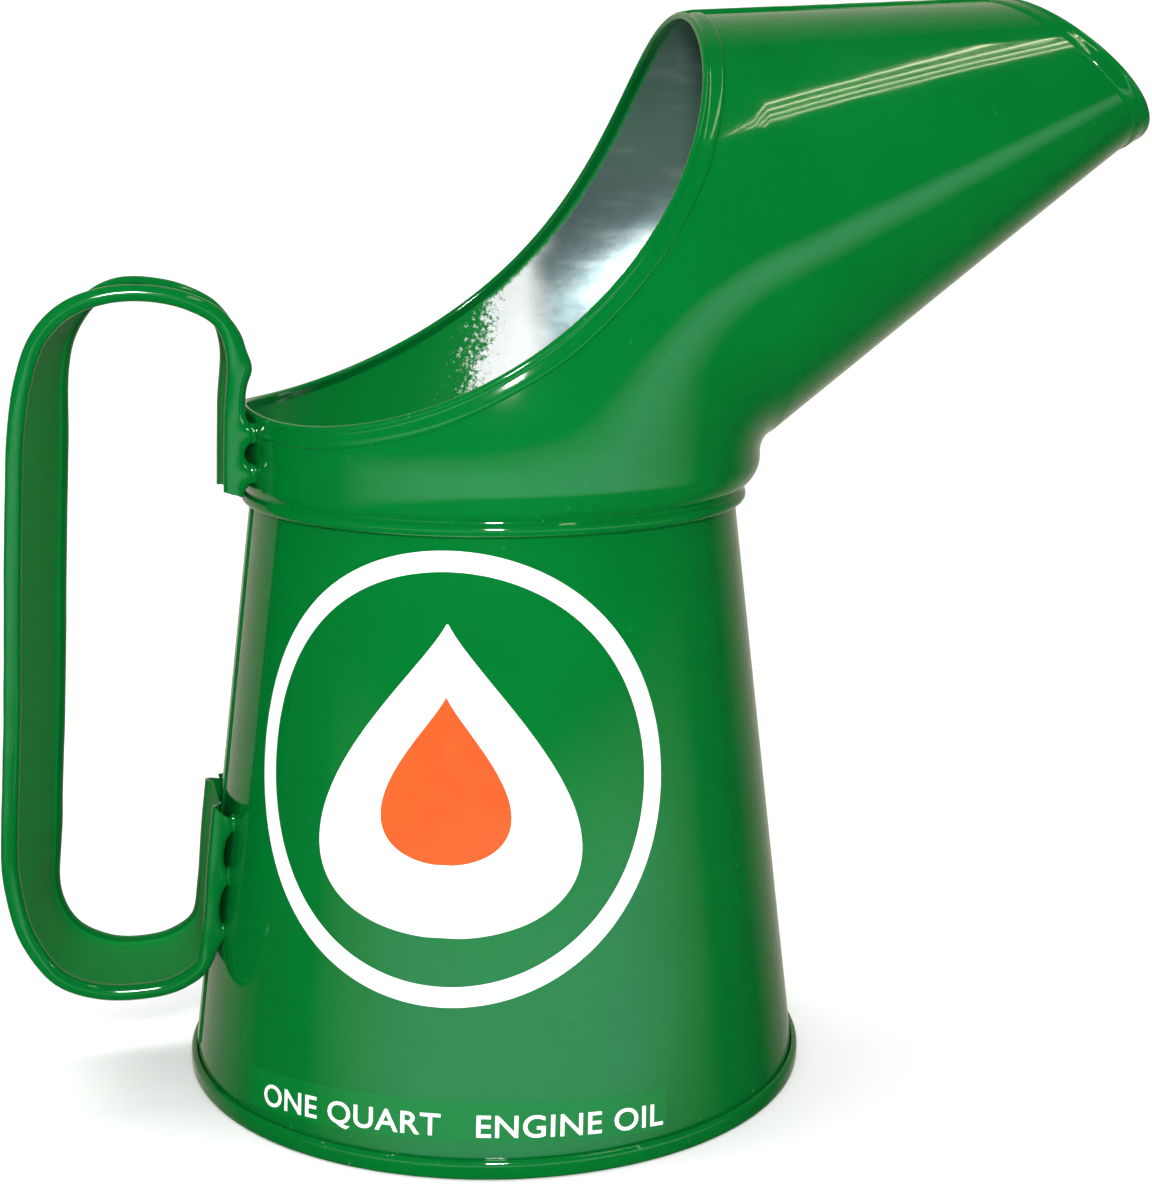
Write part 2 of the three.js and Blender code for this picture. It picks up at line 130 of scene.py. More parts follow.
DECAL_ANGLE = math.radians(-109.7)
DECAL_Z = 73.2
DECAL_RADIUS = 41.8
DECAL_RING = 3.8
WHITE_DROP = (50, 58)                  # width and height
ORANGE_DROP = (24, 31)
LABEL_Z = 10.7
LABEL_HALF = (44, 3.8)                 # half length and half height
LETTERING = (82.0, 5.0)                # length and height
LETTER_DROP = 1.2                      # the lettering sits below the middle of its film
LETTER_SHIFT = 2.2                     # and a little to the right
FILM_SHEET = 0.05
# How far each film's face is from the paint
LABEL_LIFT, WHITE_LIFT, LETTER_LIFT, ORANGE_LIFT = 0.03, 0.07, 0.09, 0.13

# The finish inside the hood
GLARE_ENDS = (14.0, 24.0)               # going forward, the near-white tin with the flash's highlight painted into it turns to dull tin between these
OVERSPRAY_ENDS = (3.5, 8.0)            # and green at the back ends between these, at the height OVERSPRAY_Z
OVERSPRAY_Z = 143.0
OVERSPRAY_SLANT = -0.3
GREEN_REFLECTION_FROM = (166.0, 190.0)           # a painted green reflection sets in on the tin between these heights
RIM_SPRAY = (2.6, 3.6)                 # green along a rim ends between these distances from it
FAR_FROM_RIM = 50.0


# Small tools ------------
def smooth(x):
    """0 below 0, 1 above 1, with an even ease between."""
    x = np.clip(x, 0.0, 1.0)
    return x * x * (3 - 2 * x)


def wander(x, seed, size):
    """A smooth random number from about -1 to 1 that changes over size."""
    return noise.noise(Vector((x / size, seed * 7.31, seed * 1.7)))


def spline(points, count):
    """count points along a smooth curve through all the given points."""
    p = np.array(points, float)
    p = np.vstack([2 * p[0] - p[1], p, 2 * p[-1] - p[-2]])
    steps = np.linalg.norm(np.diff(p, axis=0), axis=1) ** 0.5
    knots = np.concatenate([[0], np.cumsum(steps)])
    out = []
    for t in np.linspace(knots[1], knots[-2], 40 * len(points)):
        k = int(np.clip(np.searchsorted(knots, t, side="right") - 1, 1, len(p) - 3))
        t0, t1, t2, t3 = knots[k - 1 : k + 3]
        a = (t1 - t) / (t1 - t0) * p[k - 1] + (t - t0) / (t1 - t0) * p[k]
        b = (t2 - t) / (t2 - t1) * p[k] + (t - t1) / (t2 - t1) * p[k + 1]
        c = (t3 - t) / (t3 - t2) * p[k + 1] + (t - t2) / (t3 - t2) * p[k + 2]
        d = (t2 - t) / (t2 - t0) * a + (t - t0) / (t2 - t0) * b
        e = (t3 - t) / (t3 - t1) * b + (t - t1) / (t3 - t1) * c
        out.append((t2 - t) / (t2 - t1) * d + (t - t1) / (t2 - t1) * e)
    return evenly(np.array(out), count)


def evenly(points, count):
    """The same polyline with count points at equal steps."""
    run = np.concatenate([[0], np.cumsum(np.linalg.norm(np.diff(points, axis=0), axis=1))])
    at = np.linspace(0, run[-1], count)
    return np.stack([np.interp(at, run, points[:, k]) for k in range(points.shape[1])], axis=1)


def grid_faces(rows, columns, loop_rows=False, loop_columns=False):
    """Quads over a grid of vertices numbered row by row."""
    faces = []
    for r in range(rows if loop_rows else rows - 1):
        for c in range(columns if loop_columns else columns - 1):
            r2, c2 = (r + 1) % rows, (c + 1) % columns
            faces.append((r * columns + c, r * columns + c2, r2 * columns + c2, r2 * columns + c))
    return faces


def clipped(verts, faces, side):
    """Faces cut along side = 0, keeping side < 0. side holds one number per vertex."""
    verts, side, cut, kept = list(verts), list(side), {}, []
    for face in faces:
        inside = [side[v] < 0 for v in face]
        if all(inside):
            kept.append(tuple(face))
        elif any(inside):
            polygon = []
            for k, v in enumerate(face):
                w = face[(k + 1) % len(face)]
                if inside[k]:
                    polygon.append(v)
                if inside[k] != inside[(k + 1) % len(face)]:
                    key = (min(v, w), max(v, w))
                    if key not in cut:
                        a, b = key
                        share = side[a] / (side[a] - side[b])
                        cut[key] = len(verts)
                        verts.append(verts[a] + share * (verts[b] - verts[a]))
                        side.append(0.0)
                    polygon.append(cut[key])
            if len(set(polygon)) > 2:
                kept.append(tuple(polygon))
    used = sorted({v for f in kept for v in f})
    new = {v: k for k, v in enumerate(used)}
    return np.array([verts[v] for v in used]), [tuple(new[v] for v in f) for f in kept]


def thickened(verts, inner, faces):
    """A closed skin between a surface and its inner copy, and each face's material: 1 on the inner side."""
    count = len(verts)
    edges = {}
    for f in faces:
        for k, v in enumerate(f):
            edges[(v, f[(k + 1) % len(f)])] = 1
    back = [tuple(v + count for v in reversed(f)) for f in faces]
    rim = [(b, a, a + count, b + count) for a, b in edges if (b, a) not in edges]
    numbers = [0] * len(faces) + [1] * len(back) + [0] * len(rim)
    return np.vstack([verts, inner]), list(faces) + back + rim, numbers


def joined(*parts):
    """Several (verts, faces, numbers) as one."""
    verts, faces, numbers, start = [], [], [], 0
    for v, f, n in parts:
        verts.append(v)
        faces += [tuple(i + start for i in face) for face in f]
        numbers += list(n)
        start += len(v)
    return np.vstack(verts), faces, numbers


def level_ring(radius, angle, z):
    """Points at one height, at those angles."""
    return np.stack([radius * np.cos(angle), radius * np.sin(angle), np.full(len(angle), z)], axis=1)


def row_x(x):
    """An X from the can's axis, as metres in the row frame."""
    return (AXIS_X + x) * MM


def mesh_piece(name, verts, faces, materials, nodes=(), numbers=None, sharp=38, wear=None, rim=None):
    """One visible piece, from millimetres about the can's axis. wear and rim are by vertex, for the paint."""
    verts = (np.asarray(verts, float) + np.array([AXIS_X, 0, 0])) * MM
    mesh = bpy.data.meshes.new(name)
    mesh.from_pydata(verts.tolist(), [], [tuple(int(i) for i in f) for f in faces])
    for m in materials:
        mesh.materials.append(m)
    if numbers is not None:
        mesh.polygons.foreach_set("material_index", numbers)
    for label, values in (("wear", wear), ("rim", rim)):
        if values is not None:
            layer = mesh.attributes.new(label, "FLOAT", "POINT")
            layer.data.foreach_set("value", np.asarray(values, np.float32))
    mesh.validate()
    mesh.shade_smooth()
    mesh.set_sharp_from_angle(angle=math.radians(sharp))
    piece = bpy.data.objects.new(name, mesh)
    bpy.context.scene.collection.objects.link(piece)
    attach(piece, "root")
    if nodes:
        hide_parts(*nodes)
    return piece


# Materials ------------
class Shader:
    """A node tree written one call at a time."""

    def __init__(self, name):
        self.material = bpy.data.materials.new(name)
        self.material.use_nodes = True
        self.tree = self.material.node_tree
        self.shader = self.tree.nodes["Principled BSDF"]
        self.place = self.node("ShaderNodeTexCoord").outputs["Object"]

    def node(self, kind, settings=None, **inputs):
        made = self.tree.nodes.new(kind)
        for key, value in (settings or {}).items():
            setattr(made, key, value)
        for key, value in inputs.items():
            self.put(made.inputs[key.replace("_", " ")], value)
        return made

    def put(self, socket, value):
        if isinstance(value, bpy.types.NodeSocket):
            self.tree.links.new(value, socket)
        else:
            socket.default_value = value

    def noise(self, scale, detail=3.0, roughness=0.55, stretch=None):
        place = self.place
        if stretch:
            place = self.node("ShaderNodeMapping", Vector=place, Scale=stretch).outputs[0]
        made = self.node("ShaderNodeTexNoise", Vector=place, Scale=scale, Detail=detail, Roughness=roughness)
        return made.outputs[0]

    def ripple(self, swing, scale, detail, roughness=0.55):
        """Noise about 0, with that swing from end to end."""
        return self.math("MULTIPLY", self.math("SUBTRACT", self.noise(scale, detail, roughness), 0.5), swing)

    def span(self, value, low, high, to_low=0.0, to_high=1.0):
        """value taken with an ease from low..high to to_low..to_high."""
        made = self.node("ShaderNodeMapRange", {"interpolation_type": "SMOOTHSTEP"}, Value=value)
        for key, number in (("From Min", low), ("From Max", high), ("To Min", to_low), ("To Max", to_high)):
            self.put(made.inputs[key], number)
        return made.outputs[0]

    def math(self, operation, a, b=0.0):
        made = self.node("ShaderNodeMath", {"operation": operation})
        self.put(made.inputs[0], a)
        self.put(made.inputs[1], b)
        return made.outputs[0]

    def mix(self, share, a, b):
        made = self.node("ShaderNodeMix", {"data_type": "RGBA"})
        self.put(made.inputs[0], share)
        self.put(made.inputs[6], a)
        self.put(made.inputs[7], b)
        return made.outputs[2]

    def attribute(self, name):
        return self.node("ShaderNodeAttribute", {"attribute_name": name}).outputs["Fac"]

    def bump(self, *layers):
        """layers are (height, depth in mm), laid one over the other."""
        normal = None
        for height, depth in layers:
            made = self.node("ShaderNodeBump", Height=height, Distance=depth * MM, Strength=1.0)
            if normal is not None:
                self.put(made.inputs["Normal"], normal)
            normal = made.outputs[0]
        self.put(self.shader.inputs["Normal"], normal)

    def set(self, **inputs):
        for key, value in inputs.items():
            self.put(self.shader.inputs[key.replace("_", " ")], value)
        return self.material


GREEN = (0.0005, 0.118, 0.0180, 1)
DEEP_GREEN = (0.0004, 0.110, 0.0165, 1)
INSIDE_GREEN = (0.0005, 0.190, 0.0270, 1)
# bare tin near white: partly the tin's own shine, partly the flash's highlight painted in
BRIGHT_TIN_AND_GLARE = (0.90, 0.93, 0.92, 1)
DULL_TIN = (0.22, 0.30, 0.31, 1)
STREAK_TIN = (0.72, 0.75, 0.74, 1)
CHIP = (0.30, 0.36, 0.32, 1)
SPECK = (0.02, 0.26, 0.07, 1)


def paint(name, dull_web=False):
    """Glossy enamel, chipped where wear is high. With dull_web, it is duller where rim is 1."""
    s = Shader(name)
    color = s.mix(s.span(s.noise(38.0, 2.0), 0.35, 0.7), GREEN, DEEP_GREEN)
    color = s.mix(s.span(s.noise(620.0, 2.0, 0.5), 0.70, 0.80, 0.0, 0.25), color, SPECK)
    rough = s.span(s.noise(90.0, 4.0, 0.6), 0.3, 0.75, 0.06, 0.10)
    ragged = s.math("MULTIPLY", s.attribute("wear"), s.span(s.noise(420.0, 5.0, 0.65), 0.66, 0.74))
    color = s.mix(ragged, color, CHIP)
    rough = s.math("ADD", rough, s.math("MULTIPLY", ragged, 0.25))
    coat, shine = 0.4, 0.5
    if dull_web:
        dull = s.attribute("rim")
        shine = s.span(dull, 0.0, 1.0, 0.35, 0.06)
        color = s.mix(dull, color, INSIDE_GREEN)
        rough = s.math("ADD", rough, s.math("MULTIPLY", dull, 0.42))
        coat = s.math("MULTIPLY", s.math("SUBTRACT", 1.0, dull), coat)
    s.bump((s.noise(55.0, 1.0), 0.10))
    return s.set(Base_Color=color, Roughness=rough, IOR=1.45, Specular_IOR_Level=shine, Coat_Weight=coat,
                 Coat_Roughness=0.03)


def inner_tin(name):
    """Bare tin with mottled spangle and scuffs, near white at the back where the flash's highlight is painted
    in and dull further forward, and green overspray at the back and along the rims, with a painted green
    reflection up high.
    """
    s = Shader(name)
    axes = s.node("ShaderNodeSeparateXYZ", Vector=s.place)
    cells = s.node("ShaderNodeTexVoronoi", Vector=s.place, Scale=420.0).outputs["Distance"]
    mottle = s.noise(230.0, 5.0, 0.7)
    streak = s.noise(60.0, 4.0, 0.6, stretch=(1.0, 1.0, 4.0))
    forward, up = axes.outputs[0], axes.outputs[2]
    # painted highlight: near-white tin behind these X values stands in for the flash's glare, dull tin in front
    glare_fade = s.span(s.math("ADD", forward, s.ripple(0.008, 90.0, 4.0)), row_x(GLARE_ENDS[0]), row_x(GLARE_ENDS[1]))
    tin = s.mix(s.span(mottle, 0.35, 0.75, 0.0, 0.12), s.mix(glare_fade, BRIGHT_TIN_AND_GLARE, DULL_TIN), DULL_TIN)
    tin = s.mix(s.span(streak, 0.5, 0.75, 0.0, 0.25), tin, STREAK_TIN)
    ragged = s.ripple(0.030, 900.0, 6.0, 0.75)
    slant = s.math("MULTIPLY", s.math("SUBTRACT", up, OVERSPRAY_Z * MM), OVERSPRAY_SLANT)
    edge = s.math("ADD", s.math("ADD", forward, slant), s.math("ADD", ragged, s.ripple(0.012, 70.0, 2.0)))
    back = s.span(edge, row_x(OVERSPRAY_ENDS[0]), row_x(OVERSPRAY_ENDS[1]), 1.0, 0.0)
    # painted reflection: green mixed into the tin higher up, standing in for the greenish reflection there
    painted_green_reflection = s.span(up, GREEN_REFLECTION_FROM[0] * MM, GREEN_REFLECTION_FROM[1] * MM, 0.0, 0.35)
    from_rim = s.math("ADD", s.attribute("rim"), s.math("MULTIPLY", ragged, 60.0))
    near_rim = s.span(from_rim, *RIM_SPRAY, 1.0, 0.0)
    green = s.math("MAXIMUM", s.math("MAXIMUM", back, near_rim), painted_green_reflection)
    bare = s.math("SUBTRACT", 1.0, green)
    rough = s.math("MULTIPLY", s.span(mottle, 0.3, 0.75, 0.27, 0.33), bare)
    rough = s.math("ADD", rough, s.math("MULTIPLY", green, 0.34))
    metal = s.math("MULTIPLY", s.span(glare_fade, 0.0, 1.0, 0.15, 0.8), bare)
    s.bump((cells, 0.012), (s.noise(1300.0, 3.0), 0.006), (s.noise(60.0, 2.0), 0.12))
    return s.set(Base_Color=s.mix(green, tin, INSIDE_GREEN), Roughness=rough, Metallic=metal, IOR=1.5,
                 Specular_IOR_Level=0.25)


def film(name, color, shade, dullness=0.2):
    """A printed film, its color drifting a little towards shade."""
    s = Shader(name)
    tint = s.mix(s.span(s.noise(70.0, 3.0), 0.4, 0.7, 0.0, 0.6), color, shade)
    tint = s.mix(s.span(s.noise(900.0, 4.0, 0.7), 0.72, 0.80, 0.0, 0.2), tint, shade)
    rough = s.span(s.noise(160.0, 3.0), 0.3, 0.7, dullness, dullness + 0.05)
    s.bump((s.noise(1500.0, 2.0), 0.004), (s.noise(55.0, 1.0), 0.06))
    return s.set(Base_Color=tint, Roughness=rough, IOR=1.46)


def solder(name):
    s = Shader(name)
    tint = s.mix(s.span(s.noise(300.0, 5.0, 0.7), 0.35, 0.7), (0.46, 0.47, 0.48, 1), (0.22, 0.225, 0.23, 1))
    s.bump((s.noise(420.0, 5.0, 0.6), 0.08))
    return s.set(Base_Color=tint, Roughness=s.span(s.noise(200.0), 0.3, 0.7, 0.35, 0.6), Metallic=1.0)


def compound(name):
    s = Shader(name)
    tint = s.mix(s.span(s.noise(500.0, 4.0), 0.35, 0.7), (0.16, 0.145, 0.10, 1), (0.09, 0.08, 0.055, 1))
    s.bump((s.noise(700.0, 4.0), 0.05))
    return s.set(Base_Color=tint, Roughness=s.span(s.noise(200.0), 0.3, 0.7, 0.7, 0.9))


PAINT = paint("green_enamel")
STRAP_PAINT = paint("strap_enamel", dull_web=True)
INNER = inner_tin("inner_tin")
WHITE_FILM = film("white_film", (0.90, 0.92, 0.92, 1), (0.78, 0.81, 0.80, 1))
ORANGE_FILM = film("orange_film", (1.0, 0.075, 0.008, 1), (0.86, 0.055, 0.006, 1))
CLEAR_FILM = film("clear_film", (0.001, 0.134, 0.021, 1), (0.002, 0.142, 0.025, 1), 0.07)
SOLDER = solder("soft_solder")
COMPOUND = compound("sealing_compound")


# Body and base ------------
def body_radius(z):
    return BODY_RADIUS - BODY_TAPER * z


def seam_columns(radius, around):
    """Angles round a section of that half width, close together over the seam at the back, and the seam's
    height at each, from 0 to 1."""
    one_side = [3.3, 2.9, 2.65, 2.5, 2.3, 2.0, 1.0]
    across = np.array(one_side + [0.0] + [-x for x in reversed(one_side)])
    height = smooth((SEAM_HALF - np.abs(across)) / SEAM_FLANK)
    seam = math.pi - np.arcsin(across / radius)
    plain = np.linspace(seam[-1], 2 * math.pi + seam[0], around + 1)[1:-1]
    return np.concatenate([seam, plain]), np.concatenate([height, np.zeros(len(plain))])


def body():
    """The tapered body, with close rows where its side seam rises and ends."""
    heights = np.concatenate([
        np.linspace(BODY_BOTTOM, BODY_SEAM_LOW, 9)[:-1], np.linspace(BODY_SEAM_LOW, 6.5, 5)[:-1],
        np.linspace(6.5, 115.5, 56)[:-1], np.linspace(115.5, BODY_TOP, 10),
    ])
    outer, inner = [], []
    for z in heights:
        radius = body_radius(z)
        angle, height = seam_columns(radius, 240)
        rise = BODY_SEAM_RISE * height * smooth(z - BODY_SEAM_LOW) * smooth((BODY_SEAM_HIGH - z) / 1.2)
        outer.append(level_ring(radius + rise, angle, z))
        inner.append(level_ring(radius - SHEET, angle, z))
    verts, back = np.vstack(outer), np.vstack(inner)
    faces = grid_faces(len(heights), len(outer[0]), loop_columns=True)
    verts, faces, numbers = thickened(verts, back, faces)
    worn_below = 9.0
    wear = np.concatenate([0.5 * smooth((worn_below - verts[: len(back), 2]) / 5), np.zeros(len(back))])
    rim = np.full(len(verts), FAR_FROM_RIM)
    mesh_piece("body", verts, faces, [PAINT, INNER], ["body_shell"], numbers, wear=wear, rim=rim)


def turned(name, outline, material, nodes, wear=None, around=240):
    """A turned piece. Its outline, of radius, height and perhaps wear, closes on the axis or on itself."""
    outline = np.array(outline, float)
    angle = np.linspace(0, 2 * math.pi, around, endpoint=False)
    verts = np.vstack([level_ring(r, angle, z) for r, z in outline[:, :2]])
    faces = grid_faces(len(outline), around, loop_rows=outline[0, 0] > 0, loop_columns=True)
    worn = np.repeat(outline[:, 2], around) if outline.shape[1] > 2 else None
    if outline[0, 0] == 0:
        verts, faces = merged_poles(verts, faces, around)
        worn = worn if worn is None else np.concatenate([[worn[0]], worn[around:-around], [worn[-1]]])
    return mesh_piece(name, verts, faces, [material], nodes, wear=worn)


def merged_poles(verts, faces, around):
    """Brings the first and last rings of a lathe to one vertex each."""
    last = len(verts) - around

    def number(v):
        if v < around:
            return 0
        return last - around + 1 if v >= last else v - around + 1

    new = [tuple(dict.fromkeys(number(v) for v in f)) for f in faces]
    return np.vstack([verts[:1], verts[around:last], verts[-1:]]), [f for f in new if len(f) > 2]


def base():
    """The sunk disc, its wall, and its rim rolled out, up and back in over the body's edge."""
    wall, foot, disc, top = BASE_WALL, FOOT_RADIUS, BASE_RECESS, FOOT_HEIGHT
    under_disc = [
        [0, disc, 0], [20, disc, 0], [40, disc, 0], [55, disc, 0], [wall - 0.8, disc - 0.05, 0],
        [wall - 0.25, disc - 0.25, 0], [wall - 0.05, disc - 0.7, 0], [wall, 2.0, 0], [wall, 0.7, 0.2],
    ]
    resting = [
        [wall + 0.15, 0.25, 0.5], [wall + 0.55, 0.03, 1], [wall + 1.1, 0, 1], [foot - 1.1, 0, 1],
        [foot - 0.55, 0.06, 1], [foot - 0.2, 0.28, 1], [foot - 0.03, 0.65, 0.8], [foot, 1.2, 0.3],
    ]
    rolled_top = [
        [foot, 2.6, 0.3], [foot - 0.04, top - 0.65, 0.6], [foot - 0.2, top - 0.25, 0.8],
        [foot - 0.5, top - 0.04, 0.9], [foot - 0.8, top, 0.8], [foot - 1.1, top - 0.1, 0.4],
        [foot - 1.25, top - 0.4, 0], [foot - 1.1, top - 0.7, 0],
    ]
    inside = wall + SHEET
    back = [
        [foot - SHEET, 2.9, 0], [foot - SHEET, SHEET, 0], [inside, SHEET, 0], [inside, disc + 0.1, 0],
        [inside - 0.3, disc + 0.45, 0], [inside - 0.9, disc + SHEET, 0],
    ]
    back += [[radius, disc + SHEET, 0] for radius in (40, 20, 0)]
    turned("base", under_disc + resting + rolled_top + back, PAINT, ["base_pan"])


def hidden_seals():
    """The compound in the base's double seam, and the fillet of solder inside the neck."""
    inner = BASE_WALL + SHEET + 0.3
    turned("base_compound", [
        [inner, 0.9], [inner + 0.5, 0.8], [inner + 0.75, 1.2], [inner + 0.6, 2.2], [inner + 0.7, 3.2],
        [inner + 0.4, 3.5], [inner, 3.4],
    ], COMPOUND, ["base_seam_compound"])
    bore, low, high = 47.6, BODY_TOP + 0.3, BODY_TOP + 1.5
    turned("neck_solder", [
        [bore, low - 0.1], [bore + 0.6, low - 0.15], [bore + 1.4, low], [bore + 1.5, high],
        [bore + 1.15, high - 0.1], [bore + 0.9, high - 0.55], [bore + 0.4, low + 0.35],
        [bore + 0.05, low + 0.12],
    ], SOLDER, ["neck_solder_ring"])


def solder_run(name, line, inward, half_width, node):
    """A flattened run of solder along a line, its width wandering a little."""
    line = np.array(line, float)
    mean_depth, behind = 0.55, 0.04
    steps = np.linspace(0, math.pi, 9)
    rows = []
    for k, point in enumerate(line):
        width = half_width * (1 + 0.18 * wander(k, 3.0, 6.0))
        depth = mean_depth * (1 + 0.25 * wander(k, 5.0, 9.0))
        row = [point + np.array([0, width * math.cos(a), 0]) + inward * depth * math.sin(a) for a in steps]
        row += [point + np.array([0, y * width, 0]) - inward * behind for y in (-0.5, 0.5)]
        rows.append(row)
    count = len(rows[0])
    faces = grid_faces(len(rows), count, loop_columns=True)
    faces += [tuple(reversed(range(count))), tuple(range((len(rows) - 1) * count, len(rows) * count))]
    mesh_piece(name, np.vstack(rows), faces, [SOLDER], [node])


# Hood ------------
ALONG = np.array([math.sin(SPOUT_TILT), math.cos(SPOUT_TILT)])
UP = np.array([-math.cos(SPOUT_TILT), math.sin(SPOUT_TILT)])
PIVOT = np.array([COLLAR_OFFSET + COLLAR_RADIUS + THROAT_BEND, THROAT_Z])
HEEL = PIVOT + UP * THROAT_BEND


def fan_size(share):
    """Depth and half width of the hood's section at a share of its turn, 0 at the collar and 1 at the spout."""
    narrowing = share * share * (1 + NARROWING_SLOPE * (share - 1))
    depth = 2 * COLLAR_RADIUS + (SPOUT_DEPTH - 2 * COLLAR_RADIUS) * smooth(share)
    return depth, COLLAR_RADIUS + (SPOUT_HALF_WIDTH - COLLAR_RADIUS) * narrowing


def hood_sections():
    """Rows of (front point X and Z, up X and Z, depth, half width), from the neck bead to past the mouth."""
    rows = []
    for z, radius, shift in spline(NECK, 44)[:-1]:
        rows.append([shift + radius, z, -1, 0, 2 * radius, radius])
    for share in np.linspace(0, 1, 76):
        angle = SPOUT_TILT * share
        up = np.array([-math.cos(angle), math.sin(angle)])
        rows.append([*(PIVOT + up * THROAT_BEND), *up, *fan_size(share)])
    for reach in np.linspace(0, SPOUT_LENGTH, 50)[1:]:
        base_point = HEEL + ALONG * reach + UP * UNDERSIDE_RISE * reach
        depth, half = SPOUT_DEPTH - DEPTH_TAPER * reach, SPOUT_HALF_WIDTH - WIDTH_TAPER * reach
        rows.append([*base_point, *UP, depth, half])
    return np.array(rows)


def hood_place(x, z):
    """For points in the middle plane: rise from the section's front point, and its depth and half width."""
    outer_side = 4  # the rings before this one turn under
    neck = np.array(NECK)[outer_side:]
    radius, shift = np.interp(z, neck[:, 0], neck[:, 1]), np.interp(z, neck[:, 0], neck[:, 2])
    dx, dz = x - PIVOT[0], z - PIVOT[1]
    angle = np.arctan2(dz, -dx)
    depth_fan, half_fan = fan_size(np.clip(angle / SPOUT_TILT, 0, 1))
    hx, hz = x - HEEL[0], z - HEEL[1]
    reach = hx * ALONG[0] + hz * ALONG[1]
    low, in_spout = z < THROAT_Z, (angle > SPOUT_TILT) & (z >= THROAT_Z)
    rise = np.where(low, shift + radius - x, np.hypot(dx, dz) - THROAT_BEND)
    rise = np.where(in_spout, hx * UP[0] + hz * UP[1] - UNDERSIDE_RISE * reach, rise)
    depth = np.where(low, 2 * radius, np.where(in_spout, SPOUT_DEPTH - DEPTH_TAPER * reach, depth_fan))
    half = np.where(low, radius, np.where(in_spout, SPOUT_HALF_WIDTH - WIDTH_TAPER * reach, half_fan))
    return rise, depth, half


def hood_level(p):
    """Below 0 inside the hood, 0 on its skin, above 0 outside."""
    rise, depth, half = hood_place(p[:, 0], p[:, 2])
    return (2 * rise / depth - 1) ** 2 + (p[:, 1] / half) ** 2 - 1


def hood_slope(p):
    """How hood_level changes along X, Y and Z."""
    step = 0.02
    parts = []
    for axis in np.eye(3):
        parts.append((hood_level(p + step * axis) - hood_level(p - step * axis)) / (2 * step))
    return np.stack(parts, axis=1)


def hood_normal(p):
    slope = hood_slope(p)
    return slope / np.linalg.norm(slope, axis=1, keepdims=True)


def on_hood(p):
    """Points moved square on to the hood's skin."""
    for _ in range(3):
        slope = hood_slope(p)
        p = p - (hood_level(p) / (slope**2).sum(axis=1))[:, None] * slope
    return p


def bezier(t):
    """The filling opening's edge, seen from the side."""
    t = np.asarray(t, float)[:, None]
    a, b, c, d = FILL_CURVE
    return (1 - t) ** 3 * a + 3 * (1 - t) ** 2 * t * b + 3 * (1 - t) * t**2 * c + t**3 * d


def fill_distance(points):
    """Distance from the filling opening's edge, seen from the side: above 0 in the opening."""
    far_back, far_up = -120.0, 300.0
    edge = bezier(np.linspace(0, 1, 240))
    edge = np.vstack([[far_back, edge[0, 1]], edge, [edge[-1, 0], far_up]])
    a, b = edge[:-1], edge[1:]
    best = np.full(len(points), 1e9)
    for p, q in zip(a, b):
        d = q - p
        t = np.clip(((points - p) @ d) / (d @ d), 0, 1)
        best = np.minimum(best, np.linalg.norm(points - (p + t[:, None] * d), axis=1))
    outline = np.vstack([edge, [far_back, far_up]])
    inside = np.zeros(len(points), bool)
    for p, q in zip(outline, np.roll(outline, -1, axis=0)):
        crosses = (p[1] > points[:, 1]) != (q[1] > points[:, 1])
        with np.errstate(divide="ignore", invalid="ignore"):
            at = (q[0] - p[0]) * (points[:, 1] - p[1]) / (q[1] - p[1]) + p[0]
        inside ^= crosses & (points[:, 0] < at)
    return np.where(inside, best, -best)


def mouth_distance(points):
    """Distance past the plane of the pouring mouth."""
    along = (MOUTH_HIGH - MOUTH_LOW) / np.linalg.norm(MOUTH_HIGH - MOUTH_LOW)
    return (points - MOUTH_LOW) @ np.array([along[1], -along[0]])


def rim_loop(flat, count):
    """count points round the hood's skin, along the near side and back by the far side, from the cut's line
    as seen from the side."""
    rise, depth, half = hood_place(flat[:, 0], flat[:, 1])
    room = 1 - (2 * rise / depth - 1) ** 2
    flat, half, room = flat[room > 0], half[room > 0], room[room > 0]
    y = half * np.sqrt(room)
    y[0], y[-1] = 0.0, 0.0
    near = np.stack([flat[:, 0], -y, flat[:, 1]], axis=1)
    loop = np.vstack([near, (near * [1, -1, 1])[::-1][1:-1], near[:1]])
    return on_hood(evenly(loop, count + 1)[:-1])


def fill_rim():
    """The closed edge of the filling opening. Its line has close points near both ends."""
    t = np.concatenate([np.linspace(0, 0.1, 300), np.linspace(0.1, 0.9, 600)[1:], np.linspace(0.9, 1, 300)[1:]])
    return rim_loop(bezier(t), 360)


def mouth_rim():
    """The closed edge of the mouth. Its line runs a little past the hood at both ends."""
    share = (1 - np.cos(np.linspace(0, math.pi, 400))) / 2 * 1.2 - 0.1
    return rim_loop(MOUTH_LOW + share[:, None] * (MOUTH_HIGH - MOUTH_LOW), 240)


